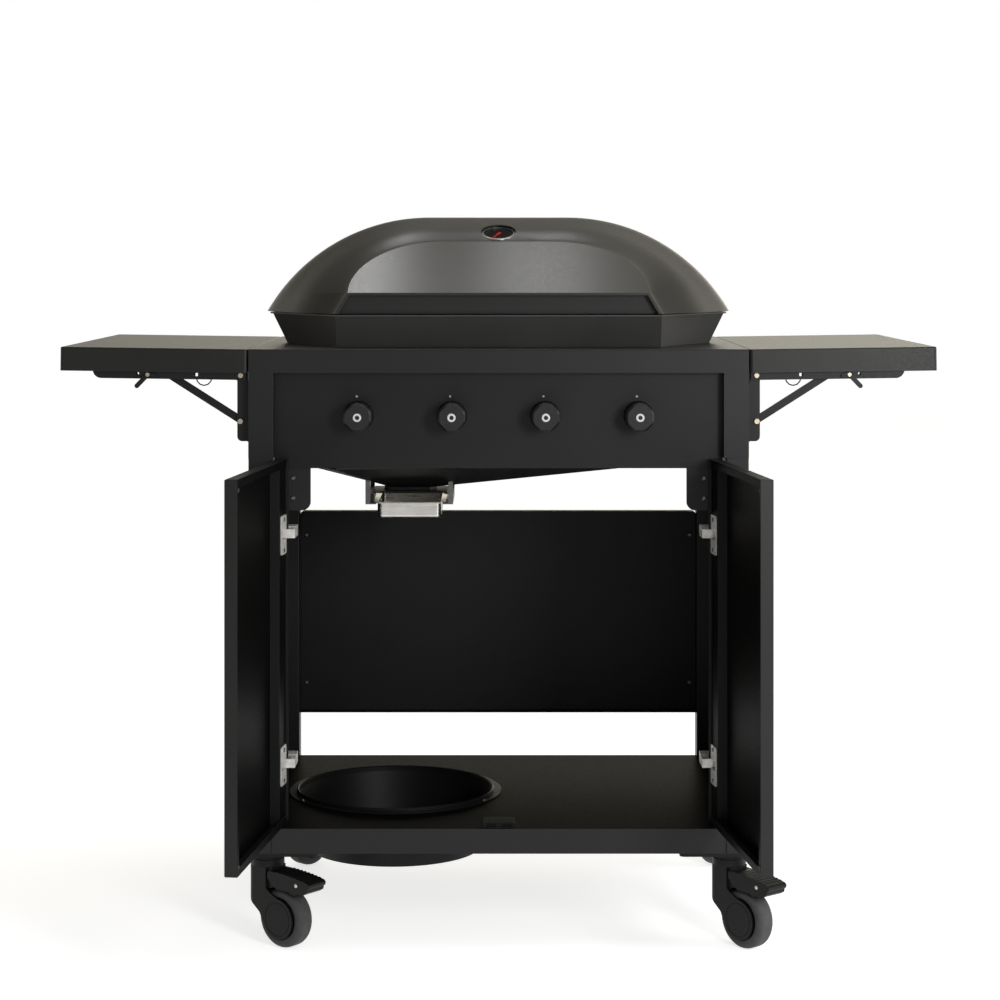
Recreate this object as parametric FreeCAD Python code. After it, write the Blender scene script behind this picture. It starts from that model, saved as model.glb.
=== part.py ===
import FreeCAD, Part
import math
import os

os.makedirs("parts", exist_ok=True)

V = FreeCAD.Vector

# A four-burner gas grill on a cabinet cart, in millimetres.
# X runs across the front, Y runs from the front to the back and Z is up.
# Depths below are measured back from the front face of the cart.
# Every part is moved by FRONT_Y at the end, so the origin lies on the floor
# under the middle of the grill as it stands with its doors open.
FRONT_Y = -126.0

# Driving dimensions of the cart
BODY_HALF = 400.0
BODY_DEPTH = 600.0
MID = BODY_DEPTH / 2
TOP_Z = 964.0
BOX_BOTTOM = 790.0
SHEET = 2.0
LEG_WIDTH = 37.0
LEG_DEPTH = 40.0
LEG_INNER = BODY_HALF - LEG_WIDTH
LEG_BOTTOM = 158.0
SHELF_Z = 198.0
SHELF_BACK = 570.0
WINDOW_HALF = 360.0
WINDOW_TOP = 926.0
PANEL_Y = 22.0
BEZEL_Y = PANEL_Y - 2.5
PANEL_BOTTOM = 772.0

# Driving dimensions of the hood and the firebox
RIM_Z = 1017.0
HOOD_BOTTOM = 1018.5
HOOD_FRONT = 70.0
HOOD_WALL = 3.0
LIP_TOP = 1053.0
ARCH_Y = 200.0
ARCH_Z = 1137.0
RIDGE_Z = 1179.0
RIDGE_RADIUS = 321.0
RIDGE_FLAT = 119.0
ARCH_FLAT = 94.0
LIP_HALF = 246.0
CREASE_HALF = 266.0
BOX_FRONT = 101.0
BOX_TIP = 363.0
RIM_FRONT = 75.0
RIM_TIP = 389.0
BOX_FLOOR = 767.0
FLOOR_FALL = 6.5
FUNNEL_FOOT = 718.5
COLLAR_FOOT = 709.5
BURNER_RADIUS = 16.0

# Driving dimensions of the moving parts
KNOB_X = (-225.0, -75.0, 75.0, 225.0)
KNOB_Z = 856.0
KNOB_FACE = -24.0
KNOB_HALF = 22.2
DOOR_OPEN = 97.0
DOOR_EDGE = 361.5
DOOR_Z = (209.0, 788.0)
DOOR_DEPTH = 20.0
STILE_DEPTH = 16.0
DOOR_PIVOT = V(-353.5, 4.0, 0)
HINGE_Z = (302.0, 669.0)
TABLE_OUTER = 701.0
TABLE_INNER = 402.0
TABLE_SKIRT = 38.0
TABLE_TILT = 0.8
FOLD = V(-413.0, 0, 921.7)
BRACE_LOW = V(-414.0, 0, 848.0)
BRACE_HIGH = V(-535.0, 0, 925.0)
LEVER = V(-561.5, 0, 921.3)
CASTER = ((-374.5, 64.0, -39.0), (374.5, 64.0, -51.0),
          (-374.5, 536.0, 50.0), (374.5, 536.0, 45.0))
WHEEL_RADIUS = 47.0
TRAIL = 41.0
PEDAL_PIVOT = V(81.0, 0, 107.0)
WELL = V(-176.0, 281.0, 0)
TRAY_X = -150.5
HOOD_AXIS = V(0, 545.0, 1021.0)


def box(x0, x1, y0, y1, z0, z1):
    return Part.makeBox(x1 - x0, y1 - y0, z1 - z0, V(x0, y0, z0))


def rod(start, direction, radius, length):
    return Part.makeCylinder(radius, length, start, direction)


def polygon(points):
    return Part.makePolygon(points + [points[0]])


def plate_y(outline, y0, y1):
    """A flat plate whose outline is given as (x, z) and whose thickness runs along Y."""
    wire = polygon([V(x, y0, z) for x, z in outline])
    return Part.Face(wire).extrude(V(0, y1 - y0, 0))


def plate_x(outline, x0, x1):
    """A flat plate whose outline is given as (y, z) and whose thickness runs along X."""
    wire = polygon([V(x0, y, z) for y, z in outline])
    return Part.Face(wire).extrude(V(x1 - x0, 0, 0))


def strap_y(p, q, width, y0, y1):
    """A flat strap with round ends between two points, its thickness along Y."""
    along = (q - p).normalize()
    side = V(-along.z, 0, along.x) * (width / 2)
    corners = [p + side, q + side, q - side, p - side]
    bar = plate_y([(c.x, c.z) for c in corners], y0, y1)
    bar = bar.fuse(rod(V(p.x, y0, p.z), V(0, 1, 0), width / 2, y1 - y0))
    bar = bar.fuse(rod(V(q.x, y0, q.z), V(0, 1, 0), width / 2, y1 - y0))
    return bar.removeSplitter()


def other_side(shape):
    return shape.mirror(V(0, 0, 0), V(1, 0, 0))


def rear_copy(shape):
    return shape.mirror(V(0, MID, 0), V(0, 1, 0))


def turned(shape, centre, axis, angle):
    copy = shape.copy()
    copy.rotate(centre, axis, angle)
    return copy


def round_edges(shape, radius, wanted):
    edges = [e for e in shape.Edges if wanted(e)]
    return shape.makeFillet(radius, edges)


def upright(edge):
    a, b = edge.Vertexes[0].Point, edge.Vertexes[-1].Point
    return abs(a.x - b.x) < 1e-6 and abs(a.y - b.y) < 1e-6


def save(name, *shapes):
    solids = [s for shape in shapes for s in shape.Solids]
    group = solids[0].copy() if len(solids) == 1 else Part.makeCompound([s.copy() for s in solids])
    group.translate(V(0, FRONT_Y, 0))
    group.exportStep("parts/" + name + ".step")


def hex_points(half, front, tip, z):
    back = BODY_DEPTH - front
    return [V(-half, front, z), V(half, front, z), V(tip, MID, z),
            V(half, back, z), V(-half, back, z), V(-tip, MID, z)]


def hex_prism(half, front, tip, z0, z1):
    return Part.Face(polygon(hex_points(half, front, tip, z0))).extrude(V(0, 0, z1 - z0))


def hex_loft(low, z0, high, z1):
    return Part.makeLoft([polygon(hex_points(*low, z0)), polygon(hex_points(*high, z1))], True, True)


# Upper box: an inverted U at the front round the control panel, two sides and a back
frame = box(-BODY_HALF, BODY_HALF, 0, SHEET, BOX_BOTTOM, TOP_Z - SHEET)
frame = frame.cut(box(-WINDOW_HALF, WINDOW_HALF, -1, 5, BOX_BOTTOM - 1, WINDOW_TOP))
flank = box(BODY_HALF - SHEET, BODY_HALF, 0, BODY_DEPTH, BOX_BOTTOM, TOP_Z - SHEET)
flank_lip = box(WINDOW_HALF, WINDOW_HALF + SHEET, 0, 30, BOX_BOTTOM, WINDOW_TOP + SHEET)
for piece in (flank, flank_lip):
    frame = frame.fuse(piece).fuse(other_side(piece))
frame = frame.fuse(box(-WINDOW_HALF, WINDOW_HALF, 0, 30, WINDOW_TOP, WINDOW_TOP + SHEET))
frame = frame.fuse(box(-BODY_HALF, BODY_HALF, BODY_DEPTH - SHEET, BODY_DEPTH, BOX_BOTTOM, TOP_Z - SHEET))
for x in range(-250, 251, 100):
    frame = frame.cut(box(x - 32, x + 32, BODY_DEPTH - 5, BODY_DEPTH + 1, 820, 832))
    frame = frame.cut(box(x - 32, x + 32, BODY_DEPTH - 5, BODY_DEPTH + 1, 846, 858))
save("top_box", frame.removeSplitter())

# Worktop sheet with the hexagonal opening for the firebox
worktop = box(-BODY_HALF, BODY_HALF, 0, BODY_DEPTH, TOP_Z - SHEET, TOP_Z)
worktop = round_edges(worktop, 1.2, lambda e: e.BoundBox.ZMin > TOP_Z - 0.1)
worktop = worktop.cut(hex_prism(CREASE_HALF, BOX_FRONT, BOX_TIP, TOP_Z - 10, TOP_Z + 10))
save("worktop", worktop)

# Control panel, set back in the frame, with a foot that turns in under the box
panel = box(-WINDOW_HALF, WINDOW_HALF, PANEL_Y, PANEL_Y + SHEET, PANEL_BOTTOM, WINDOW_TOP)
panel = panel.fuse(box(-WINDOW_HALF, WINDOW_HALF, PANEL_Y, 40, PANEL_BOTTOM, PANEL_BOTTOM + SHEET))
for x in KNOB_X:
    panel = panel.cut(rod(V(x, 0, KNOB_Z), V(0, 1, 0), 7, 30))
save("control_panel", panel.removeSplitter())

# Knob bezels on the panel
bezels = []
for x in KNOB_X:
    ring = Part.makeCone(23, 24.2, PANEL_Y - BEZEL_Y, V(x, BEZEL_Y, KNOB_Z), V(0, 1, 0))
    bezels.append(ring.cut(rod(V(x, 0, KNOB_Z), V(0, 1, 0), 12, 30)))
save("knob_bezels", *bezels)

# Legs: square posts, the front pair with a gusset in the upper corner of the door opening
def post(y0):
    tube = box(LEG_INNER, BODY_HALF, y0, y0 + LEG_DEPTH, LEG_BOTTOM, BOX_BOTTOM)
    tube = round_edges(tube, 2.5, upright)
    core = box(LEG_INNER + 2, BODY_HALF - 2, y0 + 2, y0 + LEG_DEPTH - 2, LEG_BOTTOM + 3, BOX_BOTTOM + 1)
    return tube.cut(core)


gusset = box(302, LEG_INNER, 24, 26, 704, PANEL_BOTTOM)
gusset = round_edges(gusset, 14, lambda e: e.BoundBox.XMax < 303 and e.BoundBox.ZMax < 705)
front_post = post(0).fuse(gusset)
save("front_legs", front_post, other_side(front_post))
rear_post = post(BODY_DEPTH - LEG_DEPTH)
save("rear_legs", rear_post, other_side(rear_post))

# Side panels between the front and rear legs, with a flange on the inside at the top and bottom
REAR_LEG_Y = BODY_DEPTH - LEG_DEPTH
WALL_X = BODY_HALF - 3
side_wall = box(WALL_X, WALL_X + 1.5, LEG_DEPTH, REAR_LEG_Y, SHELF_Z, BOX_BOTTOM)
for z in (SHELF_Z, BOX_BOTTOM - 1.5):
    side_wall = side_wall.fuse(box(WALL_X - 15, WALL_X, LEG_DEPTH, REAR_LEG_Y, z, z + 1.5))
save("side_panels", side_wall, other_side(side_wall))

# Back panel between the rear legs, a pan with its flanges turned towards the front
back = box(-LEG_INNER, LEG_INNER, 562, 582, 277.5, 646)
back = round_edges(back, 10, lambda e: e.BoundBox.YLength > 19 and e.BoundBox.ZMin > 600)
back = back.cut(box(-LEG_INNER + 1.5, LEG_INNER - 1.5, 560, 580.5, 279, 644.5))
save("back_panel", back)

# Bottom shelf: a pan with its skirt turned down, notched for the legs and holed for the gas bottle
shelf = box(-LEG_INNER, LEG_INNER, 0, SHELF_BACK, LEG_BOTTOM, SHELF_Z)
shelf = shelf.fuse(box(-BODY_HALF, BODY_HALF, LEG_DEPTH, REAR_LEG_Y, LEG_BOTTOM, SHELF_Z)).removeSplitter()
hollow = box(-LEG_INNER + 2, LEG_INNER - 2, 2, SHELF_BACK - 2, LEG_BOTTOM - 1, SHELF_Z - 2)
side_hollow = box(-BODY_HALF + 2, BODY_HALF - 2, LEG_DEPTH + 2, REAR_LEG_Y - 2, LEG_BOTTOM - 1, SHELF_Z - 2)
hollow = hollow.fuse(side_hollow)
shelf = shelf.cut(hollow)
shelf = shelf.cut(rod(V(WELL.x, WELL.y, LEG_BOTTOM), V(0, 0, 1), 166.5, 60))
save("bottom_shelf", shelf)

# Gas bottle well: a tapered tub with a rolled lip and a flange that lies on the shelf
well_outline = [(0, 103), (146, 103), (166, 196), (166, SHELF_Z), (181, SHELF_Z), (181, 199.5),
                (168.5, 199.5), (168.5, 203), (166.5, 205), (164.5, 203), (164.2, 196), (144.5, 104.8),
                (0, 104.8)]
well_wire = polygon([V(WELL.x + r, WELL.y, z) for r, z in well_outline])
well = Part.Face(well_wire).revolve(V(WELL.x, WELL.y, 0), V(0, 0, 1), 360)
save("bottle_well", well)

# Screws: three in the rim of the well, and the ones that hold the gussets and the control panel
def screw(at, out):
    head = Part.makeCone(4.2, 2.6, 2.4, at, out)
    slot = rod(at + out * 1.4, out, 1.3, 3)
    return head.cut(slot)


screws = []
for angle in (90, 210, 330):
    spin = math.radians(angle)
    screws.append(screw(V(WELL.x + 175 * math.cos(spin), WELL.y + 175 * math.sin(spin), 199.5), V(0, 0, 1)))
for side in (-1, 1):
    for z in (724, 756):
        screws.append(screw(V(side * 330, 24, z), V(0, -1, 0)))
    for z in (330, 600):
        screws.append(screw(V(side * (LEG_INNER - 12), 580.5, z), V(0, -1, 0)))
save("cart_screws", *screws)

# Magnetic catch for both doors on the front edge of the shelf
catch = box(-25.5, 25.5, 4, 50, SHELF_Z, 206)
catch = round_edges(catch, 2, lambda e: e.BoundBox.ZMin > 205)
catch = catch.cut(box(-20, -4, 3, 8, 200, 204.5))
catch = catch.cut(box(4, 20, 3, 8, 200, 204.5))
save("door_catch", catch)

# Firebox: flared hexagon above the worktop, straight walls below it and a ledge for the grates
def floor_z(x):
    """Height of the lower edge of the firebox, which falls to the left."""
    return BOX_FLOOR + FLOOR_FALL * x / BOX_TIP


wall = 3.0
low = (CREASE_HALF, BOX_FRONT, BOX_TIP)
high = (CREASE_HALF, RIM_FRONT, RIM_TIP)
low_in = (CREASE_HALF - 2.2, BOX_FRONT + wall, BOX_TIP - 3.6)
high_in = (CREASE_HALF - 2.2, RIM_FRONT + wall, RIM_TIP - 3.6)
firebox = hex_prism(*low, BOX_FLOOR - 20, TOP_Z).fuse(hex_loft(low, TOP_Z, high, RIM_Z))
firebox = firebox.fuse(hex_prism(CREASE_HALF + 1, RIM_FRONT - 3, RIM_TIP + 3, RIM_Z - 3, RIM_Z))
hole = hex_prism(*low_in, BOX_FLOOR - 25, TOP_Z).fuse(hex_loft(low_in, TOP_Z, high_in, RIM_Z))
hole = hole.fuse(hex_prism(*high_in, RIM_Z, RIM_Z + 5))
under = [(-BODY_HALF, BOX_FLOOR - 30), (BODY_HALF, BOX_FLOOR - 30), (BODY_HALF, floor_z(BODY_HALF)),
         (-BODY_HALF, floor_z(-BODY_HALF))]
firebox = firebox.cut(hole).cut(plate_y(under, 0, BODY_DEPTH))
ledge = hex_prism(CREASE_HALF - 1, BOX_FRONT + 1, BOX_TIP - 2, 960, 963)
ledge = ledge.cut(hex_prism(CREASE_HALF - 8, BOX_FRONT + 15, BOX_TIP - 22, 955, 970))
firebox = firebox.fuse(ledge)
for x in KNOB_X:
    firebox = firebox.cut(rod(V(x, 90, KNOB_Z), V(0, 1, 0), BURNER_RADIUS, 30))
save("firebox", firebox.removeSplitter())

# Grease funnel under the firebox, sloping to a spout on the left with a flat collar at its foot
def outlet_points(half, reach, tip, z):
    return [V(TRAY_X + dx, MID + dy, z) for dx, dy in ((-half, -reach), (half, -reach), (tip, 0),
                                                       (half, reach), (-half, reach), (-tip, 0))]


def floor_edge(half, front, tip):
    return polygon([V(p.x, p.y, floor_z(p.x)) for p in hex_points(half, front, tip, 0)])


outlet = outlet_points(33, 38, 45, FUNNEL_FOOT)
outlet_in = outlet_points(31, 36, 42.5, FUNNEL_FOOT)
funnel_outer = Part.makeLoft([polygon(outlet), floor_edge(*low)], True, True)
funnel_in = Part.makeLoft([polygon(outlet_in), floor_edge(*low_in)], True, True)
funnel = funnel_outer.cut(funnel_in)
collar = box(TRAY_X - 63.5, TRAY_X + 63.5, 250, 350, COLLAR_FOOT, COLLAR_FOOT + 3)
drop = V(0, 0, FUNNEL_FOOT - COLLAR_FOOT)
spout = Part.Face(polygon(outlet_points(33, 38, 45, COLLAR_FOOT))).extrude(drop)
bore = Part.Face(polygon(outlet_points(31, 36, 42.5, COLLAR_FOOT))).extrude(drop)
save("grease_funnel", funnel.fuse(collar.fuse(spout).cut(bore)).removeSplitter())

# Tray rails: two hangers under the funnel with ledges that carry the rim of the grease tray
rail_top = COLLAR_FOOT
rail_foot = 693.7
rail = box(TRAY_X + 72, TRAY_X + 74, 218, 382, rail_foot, rail_top)
rail = rail.fuse(box(TRAY_X + 56, TRAY_X + 74, 218, 382, rail_foot, rail_foot + 2))
rail = rail.fuse(box(TRAY_X + 58, TRAY_X + 74, 252, 348, rail_top - 2, rail_top))
for y in (218, 380):
    rail = rail.fuse(box(TRAY_X + 66, TRAY_X + 74, y, y + 2, rail_foot, rail_top + 30))
rails = [rail, rail.mirror(V(TRAY_X, 0, 0), V(1, 0, 0))]
save("tray_rails", *[r.cut(funnel_outer).removeSplitter() for r in rails])

# Grease tray: a shallow pan with a turned-out rim
tray = box(TRAY_X - 54, TRAY_X + 54, 222, 378, 670, 697)
tray = round_edges(tray, 8, upright)
tray = round_edges(tray, 5, lambda e: e.BoundBox.ZMax < 670.1)
core = box(TRAY_X - 53, TRAY_X + 53, 223, 377, 671, 699)
core = round_edges(core, 7, upright)
core = round_edges(core, 4, lambda e: e.BoundBox.ZMax < 671.1)
rim = box(TRAY_X - 62, TRAY_X + 62, 213, 387, 696, 697.2)
rim = round_edges(rim, 10, upright)
tray = tray.fuse(rim).cut(core)
save("grease_tray", tray.removeSplitter())

# Burners: four tubes with rows of ports
burners = []
for x in KNOB_X:
    tube = rod(V(x, 70, KNOB_Z), V(0, 1, 0), BURNER_RADIUS, BODY_DEPTH - BOX_FRONT - wall - 70)
    tube = tube.cut(rod(V(x, 60, KNOB_Z), V(0, 1, 0), BURNER_RADIUS - 1.5, 432))
    ports = []
    for step in range(13):
        y = 130 + 28 * step
        for lean in (-35, 35):
            way = V(math.sin(math.radians(lean)), 0, math.cos(math.radians(lean)))
            ports.append(rod(V(x, y, KNOB_Z), way, 2.2, 25))
    burners.append(tube.cut(Part.makeCompound(ports)))
save("burner_tubes", *burners)

# Heat tents over the burners
tents = []
for x in KNOB_X:
    outline = [(x - 32, 893), (x, 921), (x + 32, 893), (x + 32, 891.2), (x, 919), (x - 32, 891.2)]
    tents.append(plate_y(outline, BOX_FRONT + wall, BODY_DEPTH - BOX_FRONT - wall))
save("heat_tents", *tents)

# Cooking grates: three frames of bars that lie on the ledge
def grate(x0, x1):
    """One grate between two planes across the firebox, cut to the firebox outline."""
    bars = []
    count = round((x1 - x0) / 17.5)
    for step in range(count + 1):
        x = x0 + 3 + (x1 - x0 - 6) * step / count
        bars.append(box(x - 3, x + 3, MID - 190, MID + 190, 963, 976))
    for y in (MID - 187, MID - 110, MID, MID + 110, MID + 187):
        bars.append(box(x0, x1, y - 3, y + 3, 963, 971))
    outline = hex_prism(CREASE_HALF - 4, BOX_FRONT + 8, BOX_TIP - 12, 960, 980)
    return bars[0].multiFuse(bars[1:]).common(outline).removeSplitter()


save("cooking_grates", grate(-345, -122), grate(-119, 119), grate(122, 345))

# Gas valves behind the panel, with the stems that carry the knobs
valves = []
for x in KNOB_X:
    body = box(x - 13, x + 13, PANEL_Y + SHEET, 58, KNOB_Z - 13, KNOB_Z + 13)
    body = round_edges(body, 3, lambda e: e.BoundBox.YLength > 30)
    body = body.fuse(rod(V(x, -4, KNOB_Z), V(0, 1, 0), 4, PANEL_Y + 6))
    body = body.fuse(rod(V(x, 58, KNOB_Z), V(0, 1, 0), 5, 18))
    valves.append(body.removeSplitter())
save("gas_valves", *valves)

# Gas manifold: a square pipe under the valves, with a drop pipe on the left to the hose spigot
pipe_top = KNOB_Z - 13
elbow = V(-338, 61, 726)
manifold = box(elbow.x - 10, 262, 28, 46, pipe_top - 18, pipe_top)
manifold = manifold.cut(box(elbow.x - 8, 260, 30, 44, pipe_top - 16, pipe_top - 2))
manifold = manifold.fuse(box(elbow.x - 10, elbow.x + 10, 46, 72, pipe_top - 18, pipe_top))
manifold = manifold.fuse(rod(elbow, V(0, 0, 1), 8, pipe_top - 18 - elbow.z))
manifold = manifold.fuse(Part.makeSphere(9.5, elbow))
manifold = manifold.fuse(rod(elbow, V(0, 1, 0), 8.5, 11))
manifold = manifold.fuse(rod(elbow, V(0, 1, 0), 6.5, 41))
save("gas_manifold", manifold.removeSplitter())

# Knobs on the valve stems: eight sides with rounded corners, a bevelled face and a raised mark on top
def knob_solid(x):
    back = BEZEL_Y - 1
    corner = KNOB_HALF / math.cos(math.pi / 8)
    outline = []
    for step in range(8):
        spin = math.pi / 4 * (step + 0.5)
        outline.append(V(x + corner * math.cos(spin), back, KNOB_Z + corner * math.sin(spin)))
    solid = Part.Face(polygon(outline)).extrude(V(0, KNOB_FACE - back, 0))
    solid = round_edges(solid, 12, lambda e: e.BoundBox.YLength > 10)
    solid = solid.makeChamfer(3, [e for e in solid.Edges if e.BoundBox.YMax < KNOB_FACE + 0.01])
    top = KNOB_Z + KNOB_HALF
    solid = solid.fuse(box(x - 4.5, x + 4.5, KNOB_FACE + 3, back - 3, top - 3, top + 1))
    return solid.cut(rod(V(x, -4.6, KNOB_Z), V(0, 1, 0), 4.05, 40)).removeSplitter()


for number, x in enumerate(KNOB_X, 1):
    save("knob_%d" % number, knob_solid(x))


# Hood: a smooth band over three arches, with an inclined front and a tucked-in grip
def smooth_edge(points):
    curve = Part.BSplineCurve()
    curve.interpolate(points)
    return curve.toShape()


def hood_solid(inset, bottom):
    """The solid inside the hood's outer face, or inside its inner face when inset by the wall."""
    lip_y = HOOD_FRONT + inset
    lip_top = LIP_TOP - inset * 0.5
    arch_y = ARCH_Y + inset * 0.15
    arch_z = ARCH_Z - inset * 1.1
    lip_half = LIP_HALF - inset
    foot_half = lip_half + (LIP_TOP - bottom) * 0.6
    radius = RIDGE_RADIUS - inset
    centre_z = RIDGE_Z - RIDGE_RADIUS
    end = math.acos((bottom - centre_z) / radius)
    split = math.radians(54)

    def on_front(part, t):
        """A point of the front arch, on the side of the lip (part 0) or on the quarter arc (part 1)."""
        if part == 0:
            return V(foot_half + (lip_half - foot_half) * t, lip_y, bottom + (lip_top - bottom) * t)
        spin = math.pi / 2 * t
        half = ARCH_FLAT + (lip_half - ARCH_FLAT) * math.cos(spin)
        rise = math.sin(spin)
        return V(half, lip_y + (arch_y - lip_y) * rise, lip_top + (arch_z - lip_top) * rise)

    def on_ridge(part, t):
        spin = end + (split - end) * t if part == 0 else split * (1 - t)
        return V(RIDGE_FLAT + radius * math.sin(spin), MID, centre_z + radius * math.cos(spin))

    def arch(along):
        """The arch at a share of the way from the front arch to the ridge."""
        lift = 1.5 * along - 0.5 * along * along
        right = []
        for part, count in ((0, 5), (1, 13)):
            row = []
            for step in range(count):
                f = on_front(part, step / (count - 1))
                r = on_ridge(part, step / (count - 1))
                row.append(V(f.x + (r.x - f.x) * lift, f.y + (r.y - f.y) * along, f.z + (r.z - f.z) * lift))
            right.append(row)
        left = [[V(-p.x, p.y, p.z) for p in reversed(row)] for row in right]
        crown = Part.makeLine(right[1][-1], left[1][0])
        return Part.Wire([smooth_edge(right[0]), smooth_edge(right[1]), crown,
                          smooth_edge(left[1]), smooth_edge(left[0])])

    arches = [arch(step / 4) for step in range(5)]
    arches += [rear_copy(wire) for wire in reversed(arches[:4])]
    band = Part.makeLoft(arches, False, False)
    sill = Part.makeLine(V(-lip_half, lip_y, lip_top), V(lip_half, lip_y, lip_top))
    front = Part.Face(Part.Wire(Part.__sortEdges__([sill] + arches[0].Edges[1:4])))
    lip = Part.Face(polygon([V(-foot_half, lip_y, bottom), V(foot_half, lip_y, bottom),
                             V(lip_half, lip_y, lip_top), V(-lip_half, lip_y, lip_top)]))
    base_edges = [e for e in band.Edges if abs(e.BoundBox.ZMin - bottom) < 0.05 and e.BoundBox.ZLength < 0.05]
    for y in (lip_y, BODY_DEPTH - lip_y):
        base_edges.append(Part.makeLine(V(-foot_half, y, bottom), V(foot_half, y, bottom)))
    base = Part.Face(Part.Wire(Part.__sortEdges__(base_edges)))
    shell = Part.Compound(band.Faces + [front, lip, rear_copy(front), rear_copy(lip), base])
    shell.sewShape(0.02)
    solid = Part.Solid(shell.Shells[0])
    if solid.Volume < 0:
        solid.reverse()
    return solid


hood_outer = hood_solid(0.0, HOOD_BOTTOM)
hood_inner = hood_solid(HOOD_WALL, HOOD_BOTTOM - 2)
hood = hood_outer.cut(hood_inner)
grip = [(-261, 1010), (261, 1010), (261, 1018.5), (243, 1049), (-243, 1049), (-261, 1018.5)]
hood = hood.cut(plate_y(grip, 60, 74.5))
slant = math.radians(21.5)
gauge_out = V(0, -math.sin(slant), math.cos(slant))
gauge = V(0, 233.6, 1146.3)
hood = hood.cut(rod(gauge - gauge_out * 30, gauge_out, 29, 60))
save("hood_shell", hood)

# Grip strip: the set-back plate behind the front edge of the hood
strip = box(-300, 300, 86, 89, HOOD_BOTTOM, 1075).common(hood_inner)
save("hood_grip_strip", strip)

# Thermometer in the top of the hood: case with a probe, and the dial with its needle
case = rod(gauge - gauge_out * 10, gauge_out, 29, 16)
case = case.cut(rod(gauge + gauge_out * 3, gauge_out, 25, 10))


def case_edge(edge):
    """The round outer edge at the face of the case."""
    round_one = edge.Curve.TypeId == "Part::GeomCircle" and abs(edge.Curve.Radius - 29) < 1e-6
    return round_one and (edge.CenterOfMass - gauge).dot(gauge_out) > 5


case = round_edges(case, 1.5, case_edge)
case = case.fuse(rod(gauge - gauge_out * 20, gauge_out, 6.5, 11))
case = case.fuse(rod(gauge - gauge_out * 62, gauge_out, 3, 51))
save("thermometer_case", case.removeSplitter())
dial = rod(gauge + gauge_out * 3, gauge_out, 25, 0.8)
needle_at = gauge + gauge_out * 3.8
needle = rod(needle_at, gauge_out, 2.6, 1.4)
sideways = V(1, 0, 0)
up = gauge_out.cross(sideways)
way = (sideways * -0.45 + up * -0.89).normalize()
side = gauge_out.cross(way)
needle_tail = needle_at - way * 7
needle_tip = needle_at + way * 19
needle_wire = polygon([needle_tail + side * 2.2, needle_tip + side * 0.7, needle_tip - side * 0.7,
                       needle_tail - side * 2.2])
needle = needle.fuse(Part.Face(needle_wire).extrude(gauge_out * 0.8))
save("thermometer_dial", dial, needle)

# Hood hinges: uprights on the worktop, and knuckles with pins on the back of the hood
uprights = []
knuckles = []
for x in (-170, 170):
    y, z = HOOD_AXIS.y, HOOD_AXIS.z
    stand = box(x - 22, x + 22, 537, 580, TOP_Z, TOP_Z + 3)
    stand = stand.fuse(box(x - 6, x + 6, 537, 553, TOP_Z + 3, z))
    stand = stand.fuse(rod(V(x - 6, y, z), V(1, 0, 0), 8, 12))
    stand = stand.cut(rod(V(x - 30, y, z), V(1, 0, 0), 4.05, 60))
    uprights.append(stand.removeSplitter())
    leaf = box(x - 13, x + 13, 530, 533, 1030, 1050)
    for edge in (-13, 6.6):
        ear = box(x + edge, x + edge + 6.4, 532, y, z - 6, z + 8)
        ear = ear.fuse(box(x + edge, x + edge + 6.4, 532, 541, z + 8, 1050))
        ear = ear.fuse(rod(V(x + edge, y, z), V(1, 0, 0), 8, 6.4))
        leaf = leaf.fuse(ear)
    leaf = leaf.fuse(rod(V(x - 16, y, z), V(1, 0, 0), 4, 32))
    knuckles.append(leaf.removeSplitter())
save("hood_hinge_uprights", *uprights)
save("hood_hinge_knuckles", *knuckles)

# Doors: pans with turned-in lips that stand open, with a hollow stile along the hinge edge
px, py = DOOR_PIVOT.x, DOOR_PIVOT.y
door = box(-DOOR_EDGE, -1.5, 0, DOOR_DEPTH, *DOOR_Z)
door = round_edges(door, 2.5, lambda e: e.BoundBox.YLength < 1e-6 and e.BoundBox.YMin < 1e-6)
door = door.cut(box(-DOOR_EDGE + 1.2, -2.7, 1.2, DOOR_DEPTH + 1, DOOR_Z[0] + 1.2, DOOR_Z[1] - 1.2))
lip_y = DOOR_DEPTH - 1.2
door = door.fuse(box(-13, -2, lip_y, DOOR_DEPTH, DOOR_Z[0] + 0.6, DOOR_Z[1] - 0.6))
for z0, z1 in ((DOOR_Z[0] + 0.6, DOOR_Z[0] + 12), (DOOR_Z[1] - 12, DOOR_Z[1] - 0.6)):
    door = door.fuse(box(-345, -2, lip_y, DOOR_DEPTH, z0, z1))
stile_x = px + 42
stile_z = (DOOR_Z[0] + 0.6, DOOR_Z[1] - 0.6)
door = door.fuse(box(stile_x - 1.2, stile_x, 0.6, STILE_DEPTH, *stile_z))
stile_face = box(-DOOR_EDGE + 0.6, stile_x, STILE_DEPTH - 1.2, STILE_DEPTH, *stile_z)
for z in HINGE_Z:
    stile_face = stile_face.cut(box(-DOOR_EDGE + 1.2, px + 29.5, 0, 30, z - 11.5, z + 11.5))
door = door.fuse(stile_face)
door = turned(door.removeSplitter(), DOOR_PIVOT, V(0, 0, 1), -DOOR_OPEN)
save("left_door", door)
save("right_door", other_side(door))

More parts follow.
